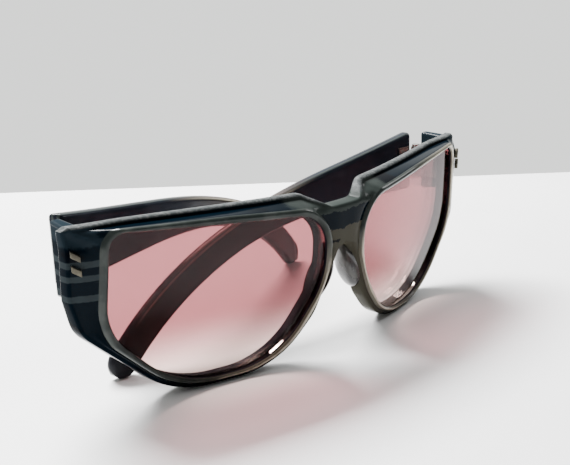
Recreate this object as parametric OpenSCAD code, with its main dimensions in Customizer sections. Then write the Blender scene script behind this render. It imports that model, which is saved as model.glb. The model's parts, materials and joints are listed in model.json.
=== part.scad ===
/* [Front] */
// Width of an end piece beside its lens opening
end_w = 7; // [6.5:0.1:9]
// Height of the brow above the lens opening at the end piece
brow_w = 2.2; // [2:0.1:4]
// How far the brow drops from the end piece to the bridge
brow_dip = 1.8; // [0.5:0.1:2.2]
// How far the top of the bridge lies below the brow at the end piece
bridge_dip = 5.7; // [4:0.1:7]
// Height of the bridge from the nose arch to its top
bridge_w = 11; // [9:0.1:13]
// Depth of the lens rims from front to back
rim_depth = 6; // [5:0.1:8]
// Depth of the brow and end pieces from front to back
brow_depth = 8; // [7.5:0.1:10]
// Height of the end pieces
end_h = 17; // [15:0.1:18]
// How far the front face of the brow lies behind the lens bead
brow_drop = 5.2; // [3:0.1:6]
// How far the edge of a thin rim lies behind the lens bead
rim_drop = 0.9; // [0.5:0.1:1.5]
// Sideways slope of each half of the front
wrap_angle = 15.6; // [10:0.1:20]
// Forward lean of the top of the front
lean_angle = 5.9; // [0:0.5:10]

/* [Lens openings] */
// Width of each lens opening
eye_w = 57.4; // [54:0.1:60]
// Height of each lens opening
eye_h = 41.3; // [39:0.1:43]
// Distance between the two lens openings
eye_gap = 14.2; // [13:0.1:16]
// Width of the rim below the lens opening
rim_w = 2; // [1.8:0.1:2.4]
// Width of the raised bead round each opening
bead_w = 1.35; // [1:0.05:1.45]
// Height of the raised bead
bead_h = 0.65; // [0.3:0.05:0.9]

/* [Lenses] */
// Thickness of each lens
lens_t = 2; // [1.6:0.1:2.4]
// Depth of the groove that holds the lens edge
groove_depth = 0.8; // [0.5:0.05:0.9]
// How far the lens lies behind the bead
lens_inset = 1.5; // [1.2:0.1:2]

/* [Nose pads] */
// How far a pad stands out from the side of the bridge
pad_t = 2.2; // [1.5:0.1:2.6]
// How far a pad reaches behind the rim
pad_reach = 2.8; // [2:0.1:3.5]

/* [Temples] */
// Length of a temple along its centre line
temple_len = 126; // [118:0.5:134]
// Height of a temple at the hinge
temple_h = 18.2; // [17:0.1:19]
// Height of the temple tail
tail_h = 8.5; // [8:0.1:9]
// Thickness of a temple at the hinge
temple_t = 4; // [3.6:0.1:4.4]
// Thickness of the temple tail
tail_t = 3.4; // [2.8:0.1:3.8]
// Length of the straight part of a temple
straight_len = 32; // [28:0.5:40]
// Downward turn of the tail
tail_turn = 46; // [42:1:50]
// Angle of the right temple to the front when folded
right_fold = 17.5; // [17.5:0.5:24]
// Angle of the left temple to the front when folded
left_fold = 0; // [-2:0.5:0]

/* [Hinges] */
// Width of plastic between a lens opening and the lug of its hinge
lug_wall = 1.8; // [1.5:0.1:2.2]
// Distance of the hinge pins behind the middle of the front
pin_back = 27.5; // [27:0.1:30]
// Distance from a hinge pin to the inner face of its temple
pin_stand = 1.8; // [1.7:0.1:2]
// Outer radius of the hinge knuckles
knuckle_r = 1.55; // [1.4:0.05:1.6]
// Height of one knuckle
knuckle_h = 1.9; // [1.6:0.1:2.2]
// Radius of the hinge screw
screw_r = 0.7; // [0.6:0.05:0.8]
// Length of a hinge leaf's plate
leaf_len = 6.6; // [6:0.1:6.7]
// Thickness of a hinge leaf
leaf_t = 0.8; // [0.7:0.05:0.9]
// Length of a shield on the end piece
shield_len = 3.3; // [2.8:0.1:3.6]

/* [Hidden] */
plastic = "#1b2226";
rose = "#d9a3a5";
metal = "#b9b2a0";
pad_grey = "#7d7a76";

overrun = 1;
clear = 0.06;
seat_gap = 0.12;
run_gap = 0.05;
face_gap = 0.1;

eye_x = eye_gap / 2;
front_w = 2 * (eye_x + eye_w + end_w);
brow_end_h = rim_w + eye_h + brow_w;
brow_mid_h = brow_end_h - brow_dip;
bridge_h = brow_end_h - bridge_dip;
arch_h = bridge_h - bridge_w;
pin_gap = 2 * (eye_x + eye_w + lug_wall - pin_stand);

// Both lens openings: corners as shares of their width and height, and the corner radii as
// shares of their height, from the nose side's top corner round by the temple side
eye_shares = [[0, 0.883], [0.974, 1], [1, 0.43], [0.696, 0], [0.241, 0], [0.002, 0.459]];
eye_r_shares = [0.238, 0.09, 0.385, 0.65, 0.531, 0.5];
eye_mid = [eye_x + eye_w / 2, rim_w + eye_h / 2];
eye_outline = rounded([for (s = eye_shares) [eye_x + s.x * eye_w, rim_w + s.y * eye_h]],
    [for (s = eye_r_shares) s * eye_h]);

// One half of the outline of the front, from the crown of the nose arch round by the rim
arch_half = 2.1;
arch_r = 2;
nose_low_in = 2.5;
nose_low_h = 10;
nose_low = [eye_x + nose_low_in, rim_w + nose_low_h];
nose_r = 12;
rim_in_share = 0.235;
rim_out_share = 0.715;
rim_r_share = 0.55;
rim_in_x = eye_x + rim_in_share * eye_w;
rim_out_x = eye_x + rim_out_share * eye_w;
cheek_in = 2;
cheek_drop = 8.4;
cheek = [front_w / 2 - cheek_in, brow_end_h - end_h - cheek_drop];
cheek_r = 9;
end_r = 1.5;
corner_r = 0.8;
step_top_x = 11.5;
step_top_r = 4;
step_foot_x = 5.2;
step_foot_r = 3;
half_corners = [[0, arch_h], [arch_half, arch_h], nose_low, [rim_in_x, 0], [rim_out_x, 0], cheek,
    [front_w / 2, brow_end_h - end_h], [front_w / 2, brow_end_h],
    [step_top_x, brow_mid_h], [step_foot_x, bridge_h], [0, bridge_h]];
half_radii = [0, arch_r, nose_r, rim_r_share * eye_h, rim_r_share * eye_h, cheek_r, end_r, corner_r,
    step_top_r, step_foot_r, 0];
half_outline = rounded(half_corners, half_radii);

function mix(a, b, t) = a + (b - a) * t;
function ramp(v, low, high) = min(1, max(0, (v - low) / (high - low)));
function ease(t) = t * t * (3 - 2 * t);
function unit(v) = v / norm(v);
function turn(a) = a > 180 ? a - 360 : a < -180 ? a + 360 : a;

// A closed outline with each corner rounded by its own radius
function corner(p, q, s, r) = r == 0 ? [q] :
    let (u = unit(p - q), v = unit(s - q), half = acos(u * v) / 2,
        mid = q + unit(u + v) * r / sin(half),
        first = q + u * r / tan(half) - mid, last = q + v * r / tan(half) - mid,
        from = atan2(first.y, first.x), sweep = turn(atan2(last.y, last.x) - from),
        steps = max(2, ceil(abs(sweep) / 9)))
    [for (k = [0:steps]) mid + r * [cos(from + sweep * k / steps), sin(from + sweep * k / steps)]];
function rounded(pts, radii) = let (n = len(pts))
    [for (i = [0:n - 1]) each corner(pts[(i + n - 1) % n], pts[i], pts[(i + 1) % n], radii[i])];

// The distance from the middle of a lens opening to an outline, at a given angle
function reach(outline, a) = let (n = len(outline), d = [cos(a), sin(a)])
    max([for (i = [0:n - 1])
        let (p = outline[i] - eye_mid, e = outline[(i + 1) % n] - outline[i], k = cross(d, e))
        if (abs(k) > 1e-9 && cross(p, d) / k > -1e-6 && cross(p, d) / k < 1 + 1e-6) cross(p, e) / k]);
function bearing(p) = let (a = atan2(p.y - eye_mid.y, p.x - eye_mid.x)) a < 0 ? a + 360 : a;

// The front face at a place in the front view: two sloping halves, a lean and a slight dome
wrap_blend = 20;
wrap_r = 2000;
dome_r = 450;
function face_y(p) = tan(wrap_angle) * (norm([p.x, wrap_blend]) - wrap_blend)
    + p.x * p.x / (2 * wrap_r)
    - tan(lean_angle) * (p.y - eye_mid.y) + pow(p.y - eye_mid.y, 2) / (2 * dome_r);

// Bearings at which the rim is cut into sections: even steps, and the corners of both outlines
function sorted(v) = len(v) < 2 ? v : let (m = v[floor(len(v) / 2)])
    concat(sorted([for (x = v) if (x < m) x]), [m], sorted([for (x = v) if (x > m) x]));
function spaced(v, gap) = [for (i = [0:len(v) - 1]) if (i == 0 || v[i] - v[i - 1] > gap) v[i]];
function run_of(q, p, r, half) = q + unit(p - q) * r / tan(half);
function half_angle(p, q, s) = acos(unit(p - q) * unit(s - q)) / 2;
arch_end = run_of([arch_half, arch_h], nose_low, arch_r,
    half_angle([0, arch_h], [arch_half, arch_h], nose_low));
nose_end = run_of(nose_low, [arch_half, arch_h], nose_r,
    half_angle([arch_half, arch_h], nose_low, [rim_in_x, 0]));
fixed_bearings = [for (p = [[0, arch_h], [0, bridge_h], [arch_half, arch_h], arch_end, nose_end,
    [front_w / 2, brow_end_h], [front_w / 2, brow_end_h - end_h],
    [step_top_x, brow_mid_h], [step_foot_x, bridge_h]]) bearing(p)];
eye_bearings = [for (p = rounded([for (s = eye_shares)
    [eye_x + s.x * eye_w, rim_w + s.y * eye_h]], [for (s = eye_r_shares) s * eye_h])) bearing(p)];
even_bearings = [for (a = [0:6:354]) a];
far_from_fixed = [for (a = concat(even_bearings, eye_bearings))
    if (min([for (f = fixed_bearings) abs(turn(a - f))]) > 1.6) a];
bearings = sorted(concat(fixed_bearings, spaced(sorted(far_from_fixed), 1.8)));
count = len(bearings);
inner_pts = [for (a = bearings) eye_mid + reach(eye_outline, a) * [cos(a), sin(a)]];
outer_pts = [for (a = bearings) let (p = eye_mid + reach(half_outline, a) * [cos(a), sin(a)])
    [abs(p.x) < clear ? 0 : p.x, p.y]];
function normal_at(pts, i) = let (n = len(pts), e = pts[(i + 1) % n] - pts[(i + n - 1) % n])
    unit([e.y, -e.x]);

// Depths of the face edge and of the back behind the lens bead, round the outline
edge_cut = 0.6;
end_face_drop = 1.1;
end_drop_share = 0.7;
end_from_share = 0.38;
end_to_share = 0.48;
function brow_share(p) = ease(ramp(p.y, bridge_h, brow_mid_h));
function end_share(p) = ease(ramp(p.x / front_w, end_from_share, end_to_share));
function face_drop(p) = rim_drop
    + (brow_drop - rim_drop) * brow_share(p) * (1 - end_drop_share * end_share(p))
    + end_face_drop * end_share(p) * ramp(p.y, cheek.y, brow_end_h - end_h);
function back_depth(p) = rim_depth
    + (brow_depth - rim_depth) * brow_share(p) * (1 - end_drop_share * end_share(p));
function spot(p, back) = [p.x, face_y(p) + back, p.y];

// One section of the rim: bead, face, outer edge, back, and the groove for the lens
bead_foot_share = 0.6;
crest_in_share = 0.25;
crest_out_share = 0.75;
oblique_share = 0.6;
function section(i) = let (a = inner_pts[i], b = outer_pts[i], u = unit(b - a),
    n = normal_at(inner_pts, i), w = bead_w / max(oblique_share, u * n),
    cut = b.x == 0 ? 0 : edge_cut, face = face_drop(b), back = back_depth(b),
    behind = lens_inset + lens_t + seat_gap, before = lens_inset - seat_gap)
    [spot(a, bead_h * bead_foot_share), spot(a + u * w * crest_in_share, 0),
        spot(a + u * w * crest_out_share, 0), spot(a + u * w, bead_h),
        spot(b - u * cut, face), spot(b, face + cut),
        spot(b, back - cut), spot(b - u * cut, back),
        spot(a, rim_depth), spot(a, behind), spot(a + n * groove_depth, behind),
        spot(a + n * groove_depth, before), spot(a, before)];
rows = 13;
face_row = 4;
back_row = 7;
half_pts = [for (i = [0:count - 1]) each section(i)];
front_pts = concat(half_pts, [for (p = half_pts) [-p.x, p.y, p.z]]);
function is_mid(i) = outer_pts[i].x == 0;
function row_at(i, j) = !is_mid(i) ? j : j == face_row + 1 ? face_row : j == back_row - 1 ? back_row : j;
function shared(i, j) = is_mid(i) && (row_at(i, j) == face_row || row_at(i, j) == back_row);
function point_at(side, i, j) = i * rows + row_at(i, j)
    + (side == 1 && !shared(i, j) ? count * rows : 0);
function inside_seam(i, j) = is_mid(i) && is_mid((i + 1) % count) && j >= face_row && j < back_row;
function whole(f) = f[0] != f[1] && f[1] != f[2] && f[2] != f[0];
front_faces = [for (side = [0, 1], i = [0:count - 1], j = [0:rows - 1])
    if (!inside_seam(i, j))
        let (k = (i + 1) % count, m = (j + 1) % rows,
            a = point_at(side, i, j), b = point_at(side, k, j),
            c = point_at(side, k, m), d = point_at(side, i, m))
        each [for (f = side == 0 ? [[a, b, c], [a, c, d]] : [[c, b, a], [d, c, a]]) if (whole(f)) f]];

// The pins, and a temple along its centre line
pin_y = pin_back;
arm_gap = 0.45;
lug_gap = 0.3;
lug_in = 3;
lug_sink = 1.5;
hinge_z = brow_end_h - temple_h / 2;
tip_r = tail_h / 2;
tip_angles = [20, 40, 58, 72, 83];
arm_steps = 34;
arm_cut = 0.7;
taper_len_share = 0.6;
taper_power = 1.5;
turn_power = 1.6;
upright_len = 40;
arm_s = concat([for (k = [0:arm_steps]) (temple_len - tip_r) * k / arm_steps],
    [for (a = tip_angles) temple_len - tip_r + tip_r * sin(a)]);
arm_n = len(arm_s) - 1;
function heading(s, slope) = slope + tail_turn * pow(ramp(s, straight_len, temple_len), turn_power);
function lean_at(s, slope) = heading(s, slope) * ease(ramp(s, 0, upright_len));
function arm_half_h(s) = (tail_h + (temple_h - tail_h)
    * pow(1 - ramp(s, 0, temple_len * taper_len_share), taper_power)) / 2
    * sqrt(1 - pow(ramp(s, temple_len - tip_r, temple_len), 2));
function arm_t(s) = mix(temple_t, tail_t, s / temple_len);
function arm_path(slope) = [for (k = 0, p = [arm_gap, 0]; k <= arm_n;
    p = p + (arm_s[min(k + 1, arm_n)] - arm_s[k])
        * [cos(heading((arm_s[min(k + 1, arm_n)] + arm_s[k]) / 2, slope)),
        -sin(heading((arm_s[min(k + 1, arm_n)] + arm_s[k]) / 2, slope))],
    k = k + 1) p];
function arm_low(slope) = let (p = arm_path(slope))
    min([for (k = [0:arm_n]) p[k].y - arm_half_h(arm_s[k]) * cos(lean_at(arm_s[k], slope))]);
function find_slope(low, high, left) = let (m = (low + high) / 2)
    left == 0 ? m : arm_low(m) > -hinge_z ? find_slope(m, high, left - 1)
    : find_slope(low, m, left - 1);
slope_limit = 12;
slope_steps = 18;
arm_slope = find_slope(-slope_limit, slope_limit, slope_steps);
arm_mid = arm_path(arm_slope);
function arm_section(k) = let (s = arm_s[k], h = arm_half_h(s), c = min(arm_cut, h / 2),
    a = lean_at(s, arm_slope), w0 = pin_stand, w1 = pin_stand + arm_t(s))
    [for (q = [[w0, c - h], [w0 + c, -h], [w1 - c, -h], [w1, c - h],
        [w1, h - c], [w1 - c, h], [w0 + c, h], [w0, h - c]])
        [arm_mid[k].x + q.y * sin(a), q.x, hinge_z + arm_mid[k].y + q.y * cos(a)]];
arm_pts = [for (k = [0:arm_n]) each arm_section(k)];
arm_rows = 8;
arm_faces = concat([[for (j = [0:arm_rows - 1]) j]],
    [[for (j = [arm_rows - 1:-1:0]) arm_n * arm_rows + j]],
    [for (k = [0:arm_n - 1], j = [0:arm_rows - 1]) let (m = (j + 1) % arm_rows,
        a = k * arm_rows + j, b = k * arm_rows + m)
        each [[a, a + arm_rows, b + arm_rows], [a, b + arm_rows, b]]]);

// The whole is centred from front to back
y_first = min([for (p = front_pts) p.y]);
y_last = max([for (p = arm_pts) pin_y + p.x * sin(right_fold) + p.y * cos(right_fold)]);
y_mid = (y_first + y_last) / 2;

// Hinge parts
plate_half_h = 2.5 * knuckle_h + 0.2;
plate_in = pin_stand - leaf_t / 2;
plate_out = pin_stand + leaf_t / 2;
plate_from = knuckle_r + 0.15;
web = 0.2;
leaf_pocket = 0.1;
head_r = 1.25;
head_h = 0.7;
slot_w = 0.35;
slot_depth = 0.35;
rivet_r = 0.55;
rivet_head_r = 0.9;
rivet_head_h = 0.3;
rivet_depth = 1.4;
rivet_u = 4.2;
rivet_z = 2.8;
rivet_clear = 0.02;
$fn = 32;

// Shields in the faces of the end pieces
shield_h = 1.45;
shield_slant = 1.5;
shield_step = 3.3;
shield_t = 0.9;
shield_proud = 0.3;
shield_in = 2;
shield_up = 2.9;
shield_x = front_w / 2 - shield_in;
shield_z = hinge_z + shield_up;
shield_turn = 30;

// Pads on the sides of the nose opening
pad_end = 0.2;
pad_sink = 1.2;
pad_steps = 10;
pad_arc = 20;
pad_end_share = 0.97;
wall_dir = unit(arch_end - nose_end);
wall_low = nose_end + wall_dir * pad_end;
wall_high = arch_end - wall_dir * pad_end;
wall_out = [-wall_dir.y, wall_dir.x];
pad_angles = [for (a = [0:pad_arc:180]) a];
pad_pts = [for (k = [0:pad_steps])
    let (t = pad_end_share * (2 * k / pad_steps - 1), r = sqrt(1 - t * t),
        c = mix(wall_low, wall_high, (t + 1) / 2))
    each [for (a = pad_angles)
        [c.x + wall_out.x * pad_t * r * sin(a),
            face_y(c) + rim_depth - pad_sink + (pad_reach + pad_sink) * r * cos(a),
            c.y + wall_out.y * pad_t * r * sin(a)]]];
pad_rows = len(pad_angles);
pad_faces = concat([[for (j = [pad_rows - 1:-1:0]) j]],
    [[for (j = [0:pad_rows - 1]) pad_steps * pad_rows + j]],
    [for (k = [0:pad_steps - 1], j = [0:pad_rows - 1]) let (m = (j + 1) % pad_rows,
        a = k * pad_rows + j, b = k * pad_rows + m)
        each [[a, b, b + pad_rows], [a, b + pad_rows, a + pad_rows]]]);

// A lens on the same curved face as the rims, its edge standing in the groove
ring_shares = [0.35, 0.7, 0.92];
lens_edge = [for (i = [0:count - 1])
    inner_pts[i] + normal_at(inner_pts, i) * (groove_depth - seat_gap)];
ring_count = len(ring_shares) + 1;
lens_side = 1 + ring_count * count;
function lens_face(back) = concat([spot(eye_mid, back)],
    [for (s = ring_shares, i = [0:count - 1]) spot(mix(eye_mid, inner_pts[i], s), back)],
    [for (p = lens_edge) spot(p, back)]);
lens_pts = concat(lens_face(lens_inset), lens_face(lens_inset + lens_t));
lens_faces = concat(
    [for (i = [0:count - 1]) let (k = (i + 1) % count)
        each [[0, 1 + k, 1 + i], [lens_side, lens_side + 1 + i, lens_side + 1 + k]]],
    [for (r = [0:ring_count - 2], i = [0:count - 1])
        let (k = (i + 1) % count, a = 1 + r * count + i, b = 1 + r * count + k)
        each [[a, b, b + count], [a, b + count, a + count],
            [lens_side + b + count, lens_side + b, lens_side + a],
            [lens_side + a + count, lens_side + b + count, lens_side + a]]],
    [for (i = [0:count - 1]) let (k = (i + 1) % count, e = (ring_count - 1) * count + 1,
        a = e + i, b = e + k)
        each [[a, b, lens_side + b], [a, lens_side + b, lens_side + a]]]);

module centred() translate([0, -y_mid, 0]) children();
module right_hinge(angle) centred() translate([-pin_gap / 2, pin_y, 0]) rotate([0, 0, angle]) children();
module left_hinge(angle) mirror([1, 0, 0]) right_hinge(angle) children();
module block(low, high) translate(low) cube(high - low);
module across(r, from, to) translate([0, from, 0]) rotate([-90, 0, 0]) cylinder(r = r, h = to - from);
module upright(r, from, to) translate([0, 0, from]) cylinder(r = r, h = to - from);

// Leaf along +X from the pin: plate, webs and the knuckles of the given places
module leaf(places) {
    difference() {
        union() {
            block([plate_from, plate_in, hinge_z - plate_half_h],
                [leaf_len, plate_out, hinge_z + plate_half_h]);
            for (k = places) {
                low = hinge_z + (k - 2.5) * knuckle_h + run_gap / 2;
                high = low + knuckle_h - run_gap;
                upright(knuckle_r, low, high);
                block([0, 0, low], [plate_from + web, plate_out, high]);
            }
        }
        upright(screw_r + run_gap, hinge_z - plate_half_h - overrun, hinge_z + plate_half_h + overrun);
        rivet_places() across(rivet_r + rivet_clear, plate_in - overrun, plate_out + overrun);
    }
}
module rivet_places() for (side = [-1, 1]) translate([rivet_u, 0, hinge_z + side * rivet_z]) children();
module rivets() rivet_places() {
    across(rivet_head_r, plate_in - rivet_head_h, plate_in);
    across(rivet_r, plate_in - rivet_head_h / 2, plate_out + rivet_depth);
}
module leaf_seat() {
    block([-overrun, pin_stand - overrun, hinge_z - plate_half_h - leaf_pocket],
        [leaf_len + leaf_pocket, plate_out, hinge_z + plate_half_h + leaf_pocket]);
    rivet_places() across(rivet_r + rivet_clear, pin_stand - overrun, plate_out + rivet_depth);
}
module screw() difference() {
    union() {
        upright(screw_r, hinge_z - 2.5 * knuckle_h, hinge_z + 2.5 * knuckle_h);
        upright(head_r, hinge_z + 2.5 * knuckle_h - run_gap / 2, hinge_z + 2.5 * knuckle_h + head_h);
    }
    block([-head_r - overrun, -slot_w / 2, hinge_z + 2.5 * knuckle_h + head_h - slot_depth],
        [head_r + overrun, slot_w / 2, hinge_z + 2.5 * knuckle_h + head_h + overrun]);
}
module arm() difference() {
    polyhedron(arm_pts, arm_faces, convexity = 6);
    leaf_seat();
}

// Right-hand lug behind the end piece, in the frame of the open hinge
module lug() {
    front = face_y([front_w / 2 - lug_in, hinge_z]) + rim_depth - lug_sink;
    rear = pin_y - lug_gap;
    centred() translate([-pin_gap / 2 - pin_stand - temple_t, 0, 0]) rotate([90, 0, 90])
        linear_extrude(temple_t) polygon([[front, brow_end_h - end_h], [rear, hinge_z - temple_h / 2],
            [rear, hinge_z + temple_h / 2], [front, brow_end_h - edge_cut]]);
}
module shield_place() {
    p = [shield_x, shield_z];
    centred() translate([-p.x, face_y(p) + end_face_drop, p.y]) rotate([0, 0, -shield_turn])
        children();
}
module shield_bar(gap, from, to) for (k = [0, 1])
    translate([0, from, -k * shield_step]) rotate([-90, 0, 0]) linear_extrude(to - from)
        offset(delta = gap) polygon([[-shield_len / 2, -shield_h / 2 - shield_slant / 2],
            [shield_len / 2, -shield_h / 2 + shield_slant / 2],
            [shield_len / 2, shield_h / 2 + shield_slant / 2],
            [-shield_len / 2, shield_h / 2 - shield_slant / 2]]);

module front_frame() color(plastic) difference() {
    union() {
        centred() polyhedron(front_pts, front_faces, convexity = 10);
        lug();
        mirror([1, 0, 0]) lug();
    }
    front_cuts();
    mirror([1, 0, 0]) front_cuts();
}
module front_cuts() {
    right_hinge(90) mirror([1, 0, 0]) leaf_seat();
    shield_place() shield_bar(seat_gap, -overrun, shield_t - shield_proud);
}
module right_lens() color(rose, 0.5) mirror([1, 0, 0]) centred() polyhedron(lens_pts, lens_faces, convexity = 4);
module left_lens() color(rose, 0.5) centred() polyhedron(lens_pts, lens_faces, convexity = 4);
module right_nose_pad() color(pad_grey) mirror([1, 0, 0]) centred() polyhedron(pad_pts, pad_faces);
module left_nose_pad() color(pad_grey) centred() polyhedron(pad_pts, pad_faces);
module right_temple() color(plastic) right_hinge(right_fold) arm();
module left_temple() color(plastic) left_hinge(left_fold) arm();
module right_front_leaf() color(metal) right_hinge(90) mirror([1, 0, 0]) leaf([0, 2, 4]);
module left_front_leaf() color(metal) left_hinge(90) mirror([1, 0, 0]) leaf([0, 2, 4]);
module right_temple_leaf() color(metal) right_hinge(right_fold) leaf([1, 3]);
module left_temple_leaf() color(metal) left_hinge(left_fold) leaf([1, 3]);
module right_hinge_screw() color(metal) right_hinge(90) screw();
module left_hinge_screw() color(metal) left_hinge(90) screw();
module right_front_rivets() color(metal) right_hinge(90) mirror([1, 0, 0]) rivets();
module left_front_rivets() color(metal) left_hinge(90) mirror([1, 0, 0]) rivets();
module right_temple_rivets() color(metal) right_hinge(right_fold) rivets();
module left_temple_rivets() color(metal) left_hinge(left_fold) rivets();
module right_shields() color(metal) shield_place() shield_bar(0, -shield_proud, shield_t - shield_proud);
module left_shields() color(metal) mirror([1, 0, 0]) shield_place()
    shield_bar(0, -shield_proud, shield_t - shield_proud);

front_frame();
right_lens();
left_lens();
right_nose_pad();
left_nose_pad();
right_temple();
left_temple();
right_front_leaf();
left_front_leaf();
right_temple_leaf();
left_temple_leaf();
right_hinge_screw();
left_hinge_screw();
right_front_rivets();
left_front_rivets();
right_temple_rivets();
left_temple_rivets();
right_shields();
left_shields();
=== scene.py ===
"""Folded flat-topped sunglasses with rose lenses, dressed over their CAD model.

Lengths are in metres: x runs to the wearer's left, y from the front of the lenses back to
the temples, and z up from the table. Side -1 is the wearer's right and side 1 the left.
Points of a front view hold x and z, and what lies behind them comes from face_y.
"""

import json
import math

import bmesh
import bpy
from mathutils import Matrix, Vector


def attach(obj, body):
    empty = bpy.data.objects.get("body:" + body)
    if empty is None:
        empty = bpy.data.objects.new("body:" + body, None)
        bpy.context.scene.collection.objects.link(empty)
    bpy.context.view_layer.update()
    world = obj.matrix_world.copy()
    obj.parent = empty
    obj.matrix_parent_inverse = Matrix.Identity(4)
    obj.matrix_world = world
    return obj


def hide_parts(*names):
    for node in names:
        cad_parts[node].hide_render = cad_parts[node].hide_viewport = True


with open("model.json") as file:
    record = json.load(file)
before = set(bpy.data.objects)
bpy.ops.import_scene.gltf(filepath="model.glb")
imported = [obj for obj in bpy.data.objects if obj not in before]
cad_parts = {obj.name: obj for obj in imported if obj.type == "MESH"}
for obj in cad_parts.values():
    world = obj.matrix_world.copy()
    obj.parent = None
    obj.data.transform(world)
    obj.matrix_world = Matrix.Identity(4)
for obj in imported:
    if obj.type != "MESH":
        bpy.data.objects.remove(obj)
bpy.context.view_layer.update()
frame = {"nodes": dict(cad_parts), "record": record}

MM = 0.001

# Driving sizes of the front, as in the CAD model
EYE_W, EYE_H, EYE_GAP = 57.4 * MM, 41.3 * MM, 14.2 * MM
END_W, END_H, RIM_W = 7.0 * MM, 17.0 * MM, 2.0 * MM
BROW_W, BROW_DIP, BRIDGE_DIP, BRIDGE_W = 2.2 * MM, 1.8 * MM, 5.7 * MM, 11.0 * MM
RIM_DEPTH, BROW_DEPTH = 6.0 * MM, 8.0 * MM
RIM_DROP, BROW_DROP, END_FACE_DROP = 0.9 * MM, 5.2 * MM, 1.1 * MM
WRAP_ANGLE, LEAN_ANGLE = math.radians(15.6), math.radians(5.9)
WRAP_BLEND, WRAP_BEND, LEAN_BEND = 20 * MM, 4000 * MM, 900 * MM
LENS_T, LENS_INSET, GROOVE, SEAT_GAP = 2.0 * MM, 1.5 * MM, 0.8 * MM, 0.12 * MM
PAD_T, PAD_REACH = 2.2 * MM, 2.8 * MM

# Driving sizes of the temples and their hinges
TEMPLE_LEN, TEMPLE_H, TAIL_H = 126 * MM, 18.2 * MM, 8.5 * MM
TEMPLE_T, TAIL_T, STRAIGHT_LEN = 4.0 * MM, 3.4 * MM, 32 * MM
TAIL_TURN, LEAN_LEN = math.radians(46), 40 * MM
RIGHT_FOLD, LEFT_FOLD = math.radians(17.5), math.radians(0)
PIN_BACK, PIN_STAND, ARM_GAP, LUG_GAP = 27.5 * MM, 1.8 * MM, 0.45 * MM, 0.3 * MM

EYE_X = EYE_GAP / 2
FRONT_W = 2 * (EYE_X + EYE_W + END_W)
BROW_END_H = RIM_W + EYE_H + BROW_W
BROW_MID_H = BROW_END_H - BROW_DIP
BRIDGE_H = BROW_END_H - BRIDGE_DIP
ARCH_H = BRIDGE_H - BRIDGE_W
END_FOOT_H = BROW_END_H - END_H
EYE_MID = Vector((EYE_X + EYE_W / 2, RIM_W + EYE_H / 2))
HINGE_Z = BROW_END_H - TEMPLE_H / 2

PINS = {j["child"]: Vector(j["pos_m"]) for j in frame["record"]["behaviour"]["joints"]}
Y_MID = PIN_BACK - PINS["right_temple"].y


# Sums that several parts share

def ramp(value, low, high):
    return min(1.0, max(0.0, (value - low) / (high - low)))


def ease(t):
    return t * t * (3 - 2 * t)


def mix(a, b, t):
    return a + (b - a) * t


def half_turn(angle):
    return (angle + math.pi) % (2 * math.pi) - math.pi


def word_of(side):
    return "right" if side < 0 else "left"


def pin_of(side):
    return PINS[word_of(side) + "_temple"]


def mirrored(p, side):
    return Vector((side * p.x, p.y, p.z))


def add_face(mesh, verts, flip=False):
    face = mesh.faces.new(verts[::-1] if flip else verts)
    face.smooth = True
    return face


def bevel_edges(mesh, edges, width, segments):
    made = bmesh.ops.bevel(mesh, geom=edges, offset=width, segments=segments, profile=0.5,
                           affect="EDGES", clamp_overlap=True)
    for face in made["faces"]:
        face.smooth = True


def to_object(name, mesh, sharp_angle=40):
    data = bpy.data.meshes.new(name)
    mesh.to_mesh(data)
    mesh.free()
    data.set_sharp_from_angle(angle=math.radians(sharp_angle))
    obj = bpy.data.objects.new(name, data)
    bpy.context.scene.collection.objects.link(obj)
    return obj


# Outlines in the front view

ARC_STEP, LEAST_ARC_STEPS = math.radians(4), 3
# Corners of the lens opening as shares of its width and height, and their radii of its height
EYE_CORNER_SHARES = ((0, 0.883), (0.974, 1), (1, 0.43), (0.696, 0), (0.241, 0), (0.002, 0.459))
EYE_R_SHARES = (0.238, 0.09, 0.385, 0.65, 0.531, 0.5)

# One half's outline: the foot of the rim, the side of the nose, its arch, the cheek below
# the end piece, the step down from the brow, and the bridge
RIM_IN_SHARE, RIM_OUT_SHARE, RIM_R_SHARE = 0.235, 0.715, 0.55
NOSE_LOW = Vector((EYE_X + 2.5 * MM, RIM_W + 10 * MM))
ARCH_HALF, ARCH_R, NOSE_R = 2.1 * MM, 2 * MM, 12 * MM
CHEEK = Vector((FRONT_W / 2 - 2 * MM, END_FOOT_H - 8.4 * MM))
CHEEK_R, END_FOOT_R, END_TOP_R = 9 * MM, 1.5 * MM, 0.9 * MM
STEP_X, STEP_R, BRIDGE_X, BRIDGE_R = 11.5 * MM, 4 * MM, 5.2 * MM, 3 * MM


def corner(p, q, s, radius):
    """The arc that rounds the corner q between its neighbours p and s."""
    if radius == 0:
        return [q.copy()]
    u, v = (p - q).normalized(), (s - q).normalized()
    half = math.acos(u.dot(v)) / 2
    mid = q + (u + v).normalized() * radius / math.sin(half)
    first, last = q + u * radius / math.tan(half) - mid, q + v * radius / math.tan(half) - mid
    start = math.atan2(first.y, first.x)
    sweep = half_turn(math.atan2(last.y, last.x) - start)
    steps = max(LEAST_ARC_STEPS, math.ceil(abs(sweep) / ARC_STEP))
    return [mid + radius * Vector((math.cos(start + sweep * k / steps),
                                   math.sin(start + sweep * k / steps)))
            for k in range(steps + 1)]


def rounded(points, radii):
    n = len(points)
    return [p for i in range(n)
            for p in corner(points[i - 1], points[i], points[(i + 1) % n], radii[i])]


def eye_outline():
    return rounded([Vector((EYE_X + x * EYE_W, RIM_W + z * EYE_H)) for x, z in EYE_CORNER_SHARES],
                   [r * EYE_H for r in EYE_R_SHARES])


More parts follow.
